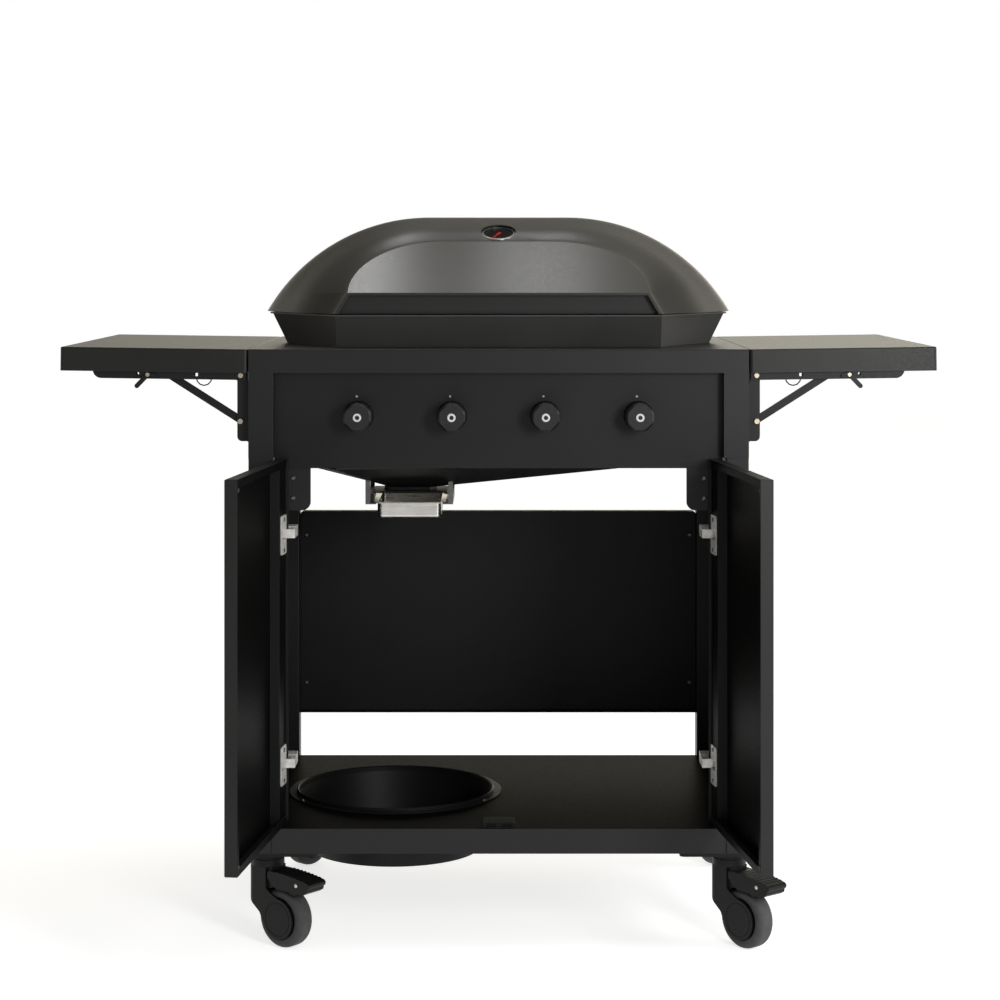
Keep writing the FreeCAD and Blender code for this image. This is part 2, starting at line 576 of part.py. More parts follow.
# Door hinges: flanged cups on the stiles, and arms that reach back to plates on the legs
ARM_HALF = 7.0
cups = []
arms = []
for z in HINGE_Z:
    cup = box(px - 4, px + 34, STILE_DEPTH, STILE_DEPTH + 1.8, z - 31, z + 31)
    cup = round_edges(cup, 4, lambda e: e.BoundBox.YLength > 1.7)
    cup = cup.cut(box(px - 5, px + 29.5, 0, 30, z - ARM_HALF - 0.6, z + ARM_HALF + 0.6))
    for z0 in (z - 11, z + ARM_HALF + 0.6):
        cup = cup.fuse(box(px - 3, px + 12, 1.6, STILE_DEPTH + 0.5, z0, z0 + 11 - ARM_HALF - 0.6))
    cup = cup.fuse(rod(V(px, py, z - 11), V(0, 0, 1), 1.5, 22))
    cups.append(turned(cup.removeSplitter(), DOOR_PIVOT, V(0, 0, 1), -DOOR_OPEN))
    arm = box(px, px + 28, py - 2.5, py + 2.5, z - ARM_HALF, z + ARM_HALF)
    arm = arm.fuse(rod(V(px, py, z - ARM_HALF), V(0, 0, 1), 2.5, 2 * ARM_HALF))
    arm = arm.fuse(box(px + 20, px + 28, py - 2.5, 60, z - ARM_HALF, z + ARM_HALF))
    arm = arm.fuse(box(-LEG_INNER, px + 28, 34, 60, z - 8.5, z + 8.5))
    arm = arm.fuse(box(-LEG_INNER, -LEG_INNER + 3, 26, 64, z - 31, z + 31))
    arm = arm.cut(rod(V(px, py, z - 20), V(0, 0, 1), 1.55, 40))
    arms.append(arm.removeSplitter())
save("left_hinge_cups", *cups)
save("right_hinge_cups", *[other_side(c) for c in cups])
save("door_hinge_arms", *arms, *[other_side(a) for a in arms])

# Side tables: pans that hang on fold-down brackets, a little high at their outer end
table = box(-TABLE_OUTER, -TABLE_INNER, 0, BODY_DEPTH, TOP_Z - TABLE_SKIRT, TOP_Z)
table = round_edges(table, 5, upright)
table = round_edges(table, 2, lambda e: e.BoundBox.ZMin > TOP_Z - 0.1)
table = table.cut(box(-TABLE_OUTER + 1.5, -TABLE_INNER - 1.5, 1.5, BODY_DEPTH - 1.5, TOP_Z - 60, TOP_Z - 1.5))
notch = box(-404, -401, 11.5, 21.5, TOP_Z - 60, 936)
table = table.cut(notch).cut(rear_copy(notch))
table = turned(table, FOLD, V(0, 1, 0), TABLE_TILT)
save("left_table", table)
save("right_table", other_side(table))

# Table channels: the bracket legs under each table, with a wire loop and the lever pin
channel = box(-650, -404, 8, 27, 914.5, TOP_Z - 1.5)
channel = round_edges(channel, 14, lambda e: abs(e.CenterOfMass.x + 650) < 1e-6 and e.CenterOfMass.z < 915)
channel = channel.cut(box(-649, -400, 10, 25, 900, TOP_Z - 3.5))
channel = channel.cut(box(-487.4, -481.4, 0, 40, 918.7, 924.7))
channel = channel.cut(rod(V(-578, 0, 922.5), V(0, 1, 0), 2.5, 40))
channel = channel.cut(rod(V(FOLD.x, 0, FOLD.z), V(0, 1, 0), 4.05, 40))
channel = channel.fuse(rod(V(LEVER.x, 3.6, LEVER.z), V(0, 1, 0), 2.5, 6.4))
channel = channel.fuse(rod(V(LEVER.x, 3.2, LEVER.z), V(0, 1, 0), 3.4, 1))
loop = []
for step in range(7):
    spin = math.pi * step / 6
    loop.append(V(-471.5 - 12.5 * math.cos(spin), 9, 918 - 13 * math.sin(spin)))
for start, stop in zip(loop, loop[1:]):
    channel = channel.fuse(rod(start, stop - start, 1, (stop - start).Length))
    channel = channel.fuse(Part.makeSphere(1, stop))
channel = turned(channel.removeSplitter(), FOLD, V(0, 1, 0), TABLE_TILT)
channels = [channel, rear_copy(channel)]
save("left_table_channels", *channels)
save("right_table_channels", *[other_side(c) for c in channels])

# Wall brackets: the fixed legs of the fold-down brackets, with the two pivot pins
bracket = box(-402, -BODY_HALF, 6, 29, 816, 908)
web = box(-419, -402, 14, 19, 816, 931)
web = round_edges(web, 8, lambda e: abs(e.CenterOfMass.x + 419) < 1e-6 and e.BoundBox.YLength > 4)
bracket = bracket.fuse(web)
bracket = bracket.fuse(rod(V(FOLD.x, 5.6, FOLD.z), V(0, 1, 0), 4, 23.8))
bracket = bracket.fuse(rod(V(BRACE_LOW.x, 11, BRACE_LOW.z), V(0, 1, 0), 3.5, 13.6))
bracket = bracket.fuse(rod(V(BRACE_LOW.x, 10.6, BRACE_LOW.z), V(0, 1, 0), 4.6, 1.4))
bracket = bracket.fuse(rod(V(BRACE_LOW.x, 23.8, BRACE_LOW.z), V(0, 1, 0), 4.6, 0.7))
bracket = bracket.removeSplitter()
brackets = [bracket, rear_copy(bracket)]
save("wall_brackets", *brackets, *[other_side(b) for b in brackets])

# Braces between the wall brackets and the channels
lift = V(0.65, 0, 1.0)
brace = strap_y(BRACE_LOW + lift, BRACE_HIGH + lift, 12, 20, 23.4)
brace = brace.cut(rod(V(BRACE_LOW.x, 0, BRACE_LOW.z), V(0, 1, 0), 3.55, 40))
brace = brace.fuse(rod(V(BRACE_HIGH.x, 11, BRACE_HIGH.z), V(0, 1, 0), 3.5, 13.4))
brace = brace.removeSplitter()
braces = [brace, rear_copy(brace)]
save("left_braces", *braces)
save("right_braces", *[other_side(b) for b in braces])

# Release levers on the channels
tip = V(-578.5, 0, 903.0)
lever = strap_y(LEVER, tip, 7.4, 4.4, 7.6)
tail = strap_y(LEVER, V(-552, 0, 920.0), 7.4, 4.4, 7.6)
lever = lever.fuse(tail).removeSplitter()
lever = lever.cut(rod(V(LEVER.x, 0, LEVER.z), V(0, 1, 0), 2.55, 40))
lever = turned(lever, FOLD, V(0, 1, 0), TABLE_TILT)
levers = [lever, rear_copy(lever)]
save("left_release_levers", *levers)
save("right_release_levers", *[other_side(s) for s in levers])

# Casters: plates under the legs, moulded swivel housings, wheels and the brake pedals of the front pair
AXLE = V(TRAIL, 0, WHEEL_RADIUS)
CHEEK = (17.5, 21.0)
NOSE_HALF = 16.4
PEDAL_HALF = 20.0
COVER_RADIUS = 32.0
TYRE_HALF = 16.0
ALONG_Y = V(0, 1, 0)


def cross_bar(centre, radius, half):
    """A round bar along Y through a centre, with equal lengths on both sides."""
    return rod(V(centre.x, -half, centre.z), ALONG_Y, radius, 2 * half)


def caster_housing(braked):
    """Swivel ring, a round-backed hood over the wheel, two arms and the round covers at the axle."""
    ring = rod(V(0, 0, 127), V(0, 0, 1), 27, 24)
    ring = round_edges(ring, 3, lambda e: e.BoundBox.ZMin > 150)
    groove = rod(V(0, 0, 138), V(0, 0, 1), 30, 2.5).cut(rod(V(0, 0, 138), V(0, 0, 1), 25.5, 2.5))
    outline = [(-26.5, 128), (15, 128), (15, 93), (25, 86.5), (43, 78.5), (TRAIL, 47), (8, 40), (1, 53),
               (-19, 68), (-26.5, 78)]
    nose = [(10, 128), (24, 128), (24, 102), (62, 102), (74, 110.5), (81, 113), (87, 109), (87, 101)]
    nose += [(77, 90), (10, 90)]
    guard = [(10, 128), (22, 128), (40, 115), (60, 104), (76, 90), (10, 90)]
    housing = plate_y(outline, -CHEEK[1], CHEEK[1])
    plan = box(-26.5, 100, -CHEEK[1], CHEEK[1], 0, 150)
    plan = round_edges(plan, 14, lambda e: upright(e) and e.BoundBox.XMax < 0)
    housing = housing.common(plan).fuse(cross_bar(AXLE, COVER_RADIUS, CHEEK[1]))
    if braked:
        housing = housing.fuse(plate_y(nose, -NOSE_HALF, NOSE_HALF))
    else:
        housing = housing.fuse(plate_y(guard, -CHEEK[1], CHEEK[1]))
    housing = housing.cut(cross_bar(AXLE, WHEEL_RADIUS + 3.5, CHEEK[0]))
    housing = housing.cut(box(-40, 100, -CHEEK[0], CHEEK[0], 0, 66))
    seam = cross_bar(AXLE, COVER_RADIUS - 5, 30).cut(cross_bar(AXLE, COVER_RADIUS - 6, 30))
    seam = seam.cut(cross_bar(AXLE, 40, CHEEK[1] - 0.8))
    housing = housing.cut(seam).fuse(cross_bar(AXLE, 5, CHEEK[0] + 1)).fuse(ring.cut(groove))
    if braked:
        housing = housing.fuse(cross_bar(PEDAL_PIVOT, 3.5, PEDAL_HALF - 0.3))
    return housing.cut(rod(V(0, 0, 132), V(0, 0, 1), 8.05, 40)).removeSplitter()


def tread(x):
    """Height of the pedal's crowned tread."""
    return 121.8 - 0.00105 * (x - 21) ** 2


def brake_pedal():
    """A lever on the nose of the housing, with ribs across its tread."""
    outline = [(17.5, 110.5), (17.5, 118), (21, tread(21)), (36, tread(36))]
    for rib in range(8):
        x = 39 + 8 * rib
        outline += [(x, tread(x)), (x + 1, tread(x) + 0.9), (x + 3.4, tread(x + 3.4) + 0.9)]
        outline.append((x + 4.4, tread(x + 4.4)))
    outline += [(106, tread(106)), (109.5, 111.5), (109, 107), (105.5, 104), (104.5, 99), (97, 94.5)]
    outline += [(40, 94.5), (30, 99)]
    pedal = plate_y(outline, -PEDAL_HALF, PEDAL_HALF)
    space = [(10, 85), (89.5, 85), (89.5, 111), (84, 114.5), (70, 115.5), (28.5, 118), (28.5, 140), (10, 140)]
    pedal = pedal.cut(plate_y(space, -NOSE_HALF - 0.6, NOSE_HALF + 0.6))
    return pedal.cut(cross_bar(PEDAL_PIVOT, 3.55, 40)).removeSplitter()


def caster_tyre():
    tyre = cross_bar(AXLE, WHEEL_RADIUS, TYRE_HALF)
    tyre = round_edges(tyre, 9, lambda e: e.BoundBox.YLength < 1e-6)
    return tyre.cut(cross_bar(AXLE, 34, 20))


def caster_hub():
    hub = cross_bar(AXLE, 34, 13)
    for y in (-19, 9):
        face = V(TRAIL, y, AXLE.z)
        hub = hub.cut(rod(face, ALONG_Y, 29, 10).cut(rod(face, ALONG_Y, 13, 10)))
    return hub.fuse(cross_bar(AXLE, 10, 16.6)).cut(cross_bar(AXLE, 5.05, 20)).removeSplitter()


plates = []
names = ("front_left", "front_right", "rear_left", "rear_right")
for name, (x, y, yaw) in zip(names, CASTER):
    plate = round_edges(box(290, 402, 4, 102, 152, LEG_BOTTOM), 8, upright)
    plate = plate.fuse(rod(V(abs(x), CASTER[0][1], 133), V(0, 0, 1), 8, 20))
    if y > MID:
        plate = rear_copy(plate)
    plates.append(plate if x > 0 else other_side(plate))
    braked = y < MID
    placed = {"caster_fork_": caster_housing(braked), "caster_tyre_": caster_tyre()}
    placed["caster_hub_"] = caster_hub()
    if braked:
        placed["brake_pedal_"] = brake_pedal()
    for start, shape in placed.items():
        shape = turned(shape, V(0, 0, 0), V(0, 0, 1), yaw)
        shape.translate(V(x, y, 0))
        save(start + name, shape)
save("caster_plates", *plates)
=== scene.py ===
import math

import bmesh
import bpy
from mathutils import Matrix, Vector


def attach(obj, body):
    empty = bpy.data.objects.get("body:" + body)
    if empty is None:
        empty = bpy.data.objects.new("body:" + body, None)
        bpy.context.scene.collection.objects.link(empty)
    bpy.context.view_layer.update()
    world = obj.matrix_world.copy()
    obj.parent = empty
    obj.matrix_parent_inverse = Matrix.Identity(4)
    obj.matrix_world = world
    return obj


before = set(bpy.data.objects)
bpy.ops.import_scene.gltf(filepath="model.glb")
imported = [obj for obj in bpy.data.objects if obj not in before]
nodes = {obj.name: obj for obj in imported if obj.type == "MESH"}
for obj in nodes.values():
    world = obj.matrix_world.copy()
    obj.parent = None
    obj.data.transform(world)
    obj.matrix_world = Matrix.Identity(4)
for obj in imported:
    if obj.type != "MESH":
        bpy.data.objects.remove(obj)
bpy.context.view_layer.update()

# Places on the grill, in metres, that the added pieces share
FRONT_Y = -0.126
PANEL_Y = FRONT_Y + 0.022
KNOB_X = (-0.225, -0.075, 0.075, 0.225)
KNOB_Z = 0.856
KNOB_FACE_Y = FRONT_Y - 0.024
GAUGE_AT = Vector((0.0, FRONT_Y + 0.2336, 1.1463))
GAUGE_SLANT = math.radians(21.5)
GAUGE_OUT = Vector((0.0, -math.sin(GAUGE_SLANT), math.cos(GAUGE_SLANT)))
FOLD = Vector((0.413, 0.0, 0.9217))
BRACE_LOW = Vector((0.414, 0.0, 0.848))
BRACE_HIGH = Vector((0.535, 0.0, 0.925))
LEVER = Vector((0.5615, 0.0, 0.9234))
DOOR_PIVOT = Vector((-0.3535, FRONT_Y + 0.004, 0.0))
DOOR_OPEN = math.radians(97.0)
HINGE_Z = (0.302, 0.669)
DIAL_RISE = 0.0039

# Camera, fitted to the photograph
CAMERA_AT = (-0.00575, -4.0, 1.117)
CAMERA_LENS = 87.3
CAMERA_SHIFT = (0.005, -0.2465)


# Materials are built from these small node helpers
def start_material(name):
    material = bpy.data.materials.new(name)
    material.use_nodes = True
    tree = material.node_tree
    shader = tree.nodes["Principled BSDF"]
    return material, tree, shader


def place(tree, stretch=(1.0, 1.0, 1.0)):
    """Object coordinates, in metres, stretched along the axes."""
    where = tree.nodes.new("ShaderNodeTexCoord")
    mapping = tree.nodes.new("ShaderNodeMapping")
    mapping.inputs["Scale"].default_value = stretch
    tree.links.new(where.outputs["Object"], mapping.inputs["Vector"])
    return mapping.outputs["Vector"]


def noise(tree, where, scale, detail=3.0, roughness=0.55):
    node = tree.nodes.new("ShaderNodeTexNoise")
    node.inputs["Scale"].default_value = scale
    node.inputs["Detail"].default_value = detail
    node.inputs["Roughness"].default_value = roughness
    tree.links.new(where, node.inputs["Vector"])
    return node.outputs["Fac"]


def ramp(tree, value, stops):
    """A colour ramp with (position, colour) stops."""
    node = tree.nodes.new("ShaderNodeValToRGB")
    points = node.color_ramp.elements
    while len(points) < len(stops):
        points.new(0.5)
    for point, (position, colour) in zip(points, stops):
        point.position = position
        point.color = (*colour, 1.0)
    tree.links.new(value, node.inputs["Fac"])
    return node.outputs["Color"]


def spread(tree, value, low, high):
    """Maps a noise value to the range low to high."""
    node = tree.nodes.new("ShaderNodeMapRange")
    node.inputs["From Min"].default_value = 0.25
    node.inputs["From Max"].default_value = 0.75
    node.inputs["To Min"].default_value = low
    node.inputs["To Max"].default_value = high
    tree.links.new(value, node.inputs["Value"])
    return node.outputs["Result"]


def maths(tree, operation, first, second=None):
    node = tree.nodes.new("ShaderNodeMath")
    node.operation = operation
    for socket, value in zip(node.inputs, (first, second)):
        if value is None:
            continue
        if isinstance(value, (int, float)):
            socket.default_value = value
        else:
            tree.links.new(value, socket)
    return node.outputs["Value"]


def mixed(tree, share, first, second):
    """A colour between two colours or colour sockets."""
    node = tree.nodes.new("ShaderNodeMix")
    node.data_type = "RGBA"
    tree.links.new(share, node.inputs["Factor"])
    # A mix node lists its sockets for every data type, and the colour ones are inputs 6 and 7 and output 2
    for socket, value in ((node.inputs[6], first), (node.inputs[7], second)):
        if isinstance(value, tuple):
            socket.default_value = (*value, 1.0)
        else:
            tree.links.new(value, socket)
    return node.outputs[2]


def relief(tree, shader, height, depth, strength=1.0, edge=0.0):
    """Bump from a height value; with an edge radius the corners of the sheet are rounded too."""
    bump = tree.nodes.new("ShaderNodeBump")
    bump.inputs["Strength"].default_value = strength
    bump.inputs["Distance"].default_value = depth
    tree.links.new(height, bump.inputs["Height"])
    if edge:
        bevel = tree.nodes.new("ShaderNodeBevel")
        bevel.samples = 4
        bevel.inputs["Radius"].default_value = edge
        tree.links.new(bevel.outputs["Normal"], bump.inputs["Normal"])
    tree.links.new(bump.outputs["Normal"], shader.inputs["Normal"])


# Each finish has a function of its own
def powder_coat(name, dark, light, rough, gloss, peel=0.00005, edge=0.0009):
    """Satin coat on sheet metal: faint mottling, fine orange peel and softly rounded edges."""
    material, tree, shader = start_material(name)
    where = place(tree)
    cloud = noise(tree, where, 9.0, 4.0)
    tree.links.new(ramp(tree, cloud, [(0.3, dark), (0.7, light)]), shader.inputs["Base Color"])
    fine = noise(tree, where, 240.0, 3.0)
    tree.links.new(spread(tree, fine, rough - 0.05, rough + 0.05), shader.inputs["Roughness"])
    shader.inputs["Specular IOR Level"].default_value = gloss
    relief(tree, shader, noise(tree, where, 900.0, 2.0), peel, 0.5, edge)
    return material


def brushed_metal(name, dark, light, rough, stretch, edge=0.0006):
    """Bare metal with brush lines along the axis that is stretched least."""
    material, tree, shader = start_material(name)
    lines = noise(tree, place(tree, stretch), 60.0, 5.0, 0.7)
    cloud = noise(tree, place(tree), 30.0, 3.0)
    share = maths(tree, "MULTIPLY", maths(tree, "ADD", lines, cloud), 0.5)
    tree.links.new(ramp(tree, share, [(0.35, dark), (0.65, light)]), shader.inputs["Base Color"])
    tree.links.new(spread(tree, lines, rough - 0.07, rough + 0.09), shader.inputs["Roughness"])
    shader.inputs["Metallic"].default_value = 1.0
    relief(tree, shader, lines, 0.00004, 0.35, edge)
    return material


def cast_metal(name, dark, light, rough):
    """Enamelled or cast iron: coarse skin with pits."""
    material, tree, shader = start_material(name)
    where = place(tree)
    cloud = noise(tree, where, 40.0, 5.0)
    tree.links.new(ramp(tree, cloud, [(0.3, dark), (0.7, light)]), shader.inputs["Base Color"])
    fine = noise(tree, where, 300.0)
    tree.links.new(spread(tree, fine, rough - 0.1, rough + 0.1), shader.inputs["Roughness"])
    relief(tree, shader, noise(tree, where, 420.0, 4.0), 0.0003, 0.6, 0.0008)
    return material


def moulded(name, dark, light, rough, grain, gloss=0.4):
    """Moulded plastic or rubber with a fine spark-eroded grain."""
    material, tree, shader = start_material(name)
    where = place(tree)
    cloud = noise(tree, where, 55.0, 3.0)
    tree.links.new(ramp(tree, cloud, [(0.3, dark), (0.7, light)]), shader.inputs["Base Color"])
    fine = noise(tree, where, grain, 2.0)
    tree.links.new(spread(tree, fine, rough - 0.06, rough + 0.06), shader.inputs["Roughness"])
    shader.inputs["Specular IOR Level"].default_value = gloss
    relief(tree, shader, fine, 0.00008, 0.6, 0.0006)
    return material


def plated(name, colour, rough, metal=1.0):
    """Nickel, chrome or zinc plate with faint stains and wipe marks; a passivated one is less of a mirror."""
    material, tree, shader = start_material(name)
    where = place(tree)
    stain = noise(tree, where, 120.0, 4.0)
    shade = tuple(part * 0.72 for part in colour)
    tree.links.new(ramp(tree, stain, [(0.3, shade), (0.62, colour)]), shader.inputs["Base Color"])
    wipe = noise(tree, where, 500.0)
    tree.links.new(spread(tree, wipe, rough - 0.05, rough + 0.1), shader.inputs["Roughness"])
    shader.inputs["Metallic"].default_value = metal
    relief(tree, shader, noise(tree, where, 700.0, 2.0), 0.00003, 0.3, 0.0005)
    return material


def with_rivets(material, centres, radius, colour):
    """Bare metal on round pin ends whose axes run along Y at the given (x, z), on both sides of the grill."""
    tree = material.node_tree
    shader = tree.nodes["Principled BSDF"]
    split = tree.nodes.new("ShaderNodeSeparateXYZ")
    tree.links.new(place(tree), split.inputs["Vector"])
    across = maths(tree, "ABSOLUTE", split.outputs["X"])
    near = None
    for centre in centres:
        dx = maths(tree, "SUBTRACT", across, centre.x)
        dz = maths(tree, "SUBTRACT", split.outputs["Z"], centre.z)
        square = maths(tree, "ADD", maths(tree, "MULTIPLY", dx, dx), maths(tree, "MULTIPLY", dz, dz))
        inside = maths(tree, "LESS_THAN", square, radius * radius)
        near = inside if near is None else maths(tree, "MAXIMUM", near, inside)
    coat = shader.inputs["Base Color"].links[0].from_socket
    tree.links.new(mixed(tree, near, coat, colour), shader.inputs["Base Color"])
    tree.links.new(near, shader.inputs["Metallic"])
    return material


def painted_shade_on_side(material, looks, dark, gloss):
    """Painted shade: a darker base colour and a lower gloss on the faces that look in one direction."""
    tree = material.node_tree
    shader = tree.nodes["Principled BSDF"]
    where = tree.nodes.new("ShaderNodeTexCoord")
    along = tree.nodes.new("ShaderNodeVectorMath")
    along.operation = "DOT_PRODUCT"
    along.inputs[1].default_value = looks
    tree.links.new(where.outputs["Normal"], along.inputs[0])
    painted_shade = maths(tree, "GREATER_THAN", along.outputs["Value"], 0.5)
    coat = shader.inputs["Base Color"].links[0].from_socket
    tree.links.new(mixed(tree, painted_shade, coat, dark), shader.inputs["Base Color"])
    full = shader.inputs["Specular IOR Level"].default_value
    kept = maths(tree, "SUBTRACT", full, maths(tree, "MULTIPLY", painted_shade, full - gloss))
    tree.links.new(kept, shader.inputs["Specular IOR Level"])
    return material


def gauge_face(name):
    """Matt black dial, with a red needle told apart by its height above the dial plate."""
    material, tree, shader = start_material(name)
    where = place(tree)
    offset = tree.nodes.new("ShaderNodeVectorMath")
    offset.operation = "SUBTRACT"
    offset.inputs[1].default_value = GAUGE_AT
    tree.links.new(where, offset.inputs[0])
    along = tree.nodes.new("ShaderNodeVectorMath")
    along.operation = "DOT_PRODUCT"
    along.inputs[1].default_value = GAUGE_OUT
    tree.links.new(offset.outputs["Vector"], along.inputs[0])
    raised = maths(tree, "GREATER_THAN", along.outputs["Value"], DIAL_RISE + 0.00005)
    cloud = noise(tree, where, 200.0, 3.0)
    plate = ramp(tree, cloud, [(0.3, (0.006, 0.006, 0.006)), (0.7, (0.014, 0.014, 0.014))])
    needle = ramp(tree, cloud, [(0.3, (0.45, 0.012, 0.010)), (0.7, (0.62, 0.022, 0.016))])
    tree.links.new(mixed(tree, raised, plate, needle), shader.inputs["Base Color"])
    tree.links.new(spread(tree, cloud, 0.35, 0.5), shader.inputs["Roughness"])
    shader.inputs["Specular IOR Level"].default_value = 0.015
    return material


def satin_black(name):
    return powder_coat(name, (0.0085, 0.0085, 0.0088), (0.0120, 0.0120, 0.0122), 0.44, 0.30)


# A door's coat has painted shade: the faces that look into the cabinet with the door open are darker and less
# glossy.
def door_coat(name, inward):
    return painted_shade_on_side(satin_black(name), inward, (0.0030, 0.0030, 0.0030), 0.02)


BLACK = satin_black("black_powder_coat")
UPWARD = (0.0, 0.0, 1.0)
PANEL = powder_coat("panel_powder_coat", (0.0068, 0.0068, 0.0070), (0.0098, 0.0098, 0.0100), 0.44, 0.25)
# The shelf coat has painted shade: its upward faces are darker and less glossy.
SHELF = painted_shade_on_side(satin_black("shelf_powder_coat"), UPWARD, (0.0040, 0.0040, 0.0036), 0.005)
DOOR_LEFT = door_coat("left_door_coat", (math.sin(DOOR_OPEN), math.cos(DOOR_OPEN), 0.0))
DOOR_RIGHT = door_coat("right_door_coat", (-math.sin(DOOR_OPEN), math.cos(DOOR_OPEN), 0.0))
INSIDE = powder_coat("cabinet_powder_coat", (0.0060, 0.0060, 0.0062), (0.0090, 0.0090, 0.0092), 0.50, 0.22)
HOOD = powder_coat("hood_enamel", (0.0160, 0.0155, 0.0140), (0.0200, 0.0196, 0.0180), 0.32, 0.45, 0.00002)
GRIP = powder_coat("grip_enamel", (0.0170, 0.0170, 0.0166), (0.0230, 0.0230, 0.0225), 0.46, 0.26)
# The firebox coat is the black coat made lighter: painted light that stands in for the reflection on its
# forward-down faces under the hood lip.
LIGHTENED_BOX = powder_coat("firebox_enamel", (0.0480, 0.0480, 0.0470), (0.0600, 0.0600, 0.0580), 0.46, 0.30)
TOPS = powder_coat("table_powder_coat", (0.0100, 0.0098, 0.0092), (0.0140, 0.0136, 0.0128), 0.42, 0.30)
IRON = cast_metal("grate_iron", (0.010, 0.010, 0.010), (0.024, 0.023, 0.022), 0.6)
TENT = cast_metal("tent_enamel", (0.03, 0.03, 0.03), (0.06, 0.058, 0.055), 0.5)
STEEL_Y = brushed_metal("burner_steel", (0.40, 0.39, 0.37), (0.60, 0.58, 0.55), 0.34, (6.0, 0.3, 6.0))
TRAY_STEEL = brushed_metal("tray_steel", (0.46, 0.45, 0.43), (0.66, 0.65, 0.62), 0.28, (0.3, 6.0, 6.0))
# The tray's upward faces take a brown tone: partly a grease stain, partly painted shade inside the tray.
TRAY = painted_shade_on_side(TRAY_STEEL, UPWARD, (0.24, 0.19, 0.135), 0.2)
RAIL = plated("rail_zinc", (0.17, 0.17, 0.165), 0.42, 0.5)
PIPE = brushed_metal("pipe_steel", (0.34, 0.34, 0.33), (0.50, 0.50, 0.48), 0.38, (0.3, 6.0, 6.0))
BRASS = brushed_metal("valve_brass", (0.50, 0.36, 0.15), (0.72, 0.55, 0.26), 0.32, (6.0, 0.5, 6.0))
NICKEL = plated("hinge_nickel", (0.90, 0.88, 0.84), 0.34, 0.3)
CHROME = plated("gauge_chrome", (0.36, 0.35, 0.33), 0.24)
SCREW = plated("screw_zinc", (0.20, 0.20, 0.20), 0.38)
KNOB = moulded("knob_plastic", (0.010, 0.010, 0.010), (0.015, 0.015, 0.015), 0.36, 650.0, 0.35)
CATCH = moulded("catch_plastic", (0.010, 0.010, 0.010), (0.015, 0.015, 0.015), 0.55, 600.0, 0.08)
BEZEL = moulded("bezel_plastic", (0.003, 0.003, 0.003), (0.006, 0.006, 0.006), 0.50, 650.0, 0.10)
FORK = moulded("caster_nylon", (0.0050, 0.0050, 0.0048), (0.0085, 0.0085, 0.0082), 0.46, 520.0, 0.20)
HUB = moulded("hub_nylon", (0.0050, 0.0050, 0.0048), (0.0085, 0.0085, 0.0082), 0.44, 520.0, 0.20)
RUBBER = moulded("wheel_rubber", (0.075, 0.075, 0.076), (0.100, 0.100, 0.101), 0.62, 380.0, 0.25)
BUMPER = moulded("bumper_rubber", (0.020, 0.020, 0.020), (0.030, 0.030, 0.030), 0.55, 500.0)
PRINT = moulded("white_print", (0.74, 0.74, 0.73), (0.84, 0.84, 0.83), 0.45, 700.0)
DOT = moulded("grey_print", (0.34, 0.34, 0.34), (0.44, 0.44, 0.44), 0.5, 700.0)
MARK = moulded("dial_print", (0.07, 0.07, 0.07), (0.11, 0.11, 0.11), 0.5, 700.0, 0.1)
DIAL = gauge_face("gauge_dial")
RIVET = (0.46, 0.40, 0.31)


def bracket_black(name):
    return powder_coat(name, (0.0090, 0.0090, 0.0092), (0.0130, 0.0130, 0.0132), 0.42, 0.24)


WALL_BRACKET = with_rivets(bracket_black("wall_bracket"), (FOLD, BRACE_LOW), 0.0042, RIVET)
CHANNEL = with_rivets(bracket_black("table_channel"), (LEVER,), 0.0032, RIVET)
BRACE = with_rivets(bracket_black("brace"), (BRACE_HIGH,), 0.0036, RIVET)
LEVER_BLACK = bracket_black("release_lever")

LOOKS = {
    "top_box": BLACK, "worktop": TOPS, "control_panel": PANEL, "knob_bezels": BEZEL,
    "front_legs": BLACK, "rear_legs": BLACK, "side_panels": INSIDE, "back_panel": INSIDE,
    "bottom_shelf": SHELF, "bottle_well": INSIDE, "cart_screws": SCREW, "door_catch": CATCH,
    "firebox": LIGHTENED_BOX, "grease_funnel": INSIDE, "tray_rails": RAIL, "grease_tray": TRAY,
    "burner_tubes": STEEL_Y, "heat_tents": TENT, "cooking_grates": IRON,
    "gas_valves": BRASS, "gas_manifold": PIPE,
    "hood_shell": HOOD, "hood_grip_strip": GRIP, "thermometer_case": CHROME, "thermometer_dial": DIAL,
    "hood_hinge_uprights": BLACK, "hood_hinge_knuckles": BLACK,
    "left_door": DOOR_LEFT, "right_door": DOOR_RIGHT,
    "left_hinge_cups": NICKEL, "right_hinge_cups": NICKEL, "door_hinge_arms": NICKEL,
    "left_table": TOPS, "right_table": TOPS, "wall_brackets": WALL_BRACKET,
    "left_table_channels": CHANNEL, "right_table_channels": CHANNEL,
    "left_braces": BRACE, "right_braces": BRACE,
    "left_release_levers": LEVER_BLACK, "right_release_levers": LEVER_BLACK, "caster_plates": FORK,
}
FAMILIES = {"knob_": KNOB, "caster_fork": FORK, "caster_tyre": RUBBER, "caster_hub": HUB, "brake_pedal": FORK}


def look_of(name):
    if name in LOOKS:
        return LOOKS[name]
    return next(look for start, look in FAMILIES.items() if name.startswith(start))


for name, node in nodes.items():
    node.data.materials.clear()
    node.data.materials.append(look_of(name))


# Added pieces are turned from a profile or drawn as small solids
def new_piece(name, mesh_builder, material, body):
    mesh = bpy.data.meshes.new(name)
    work = bmesh.new()
    mesh_builder(work)
    bmesh.ops.recalc_face_normals(work, faces=work.faces)
    work.to_mesh(mesh)
    work.free()
    for face in mesh.polygons:
        face.use_smooth = True
    mesh.materials.append(material)
    piece = bpy.data.objects.new(name, mesh)
    bpy.context.scene.collection.objects.link(piece)
    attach(piece, body)
    return piece


def side_of(axis):
    helper = Vector((1, 0, 0)) if abs(axis.x) < 0.9 else Vector((0, 1, 0))
    first = axis.cross(helper).normalized()
    return first, axis.cross(first)


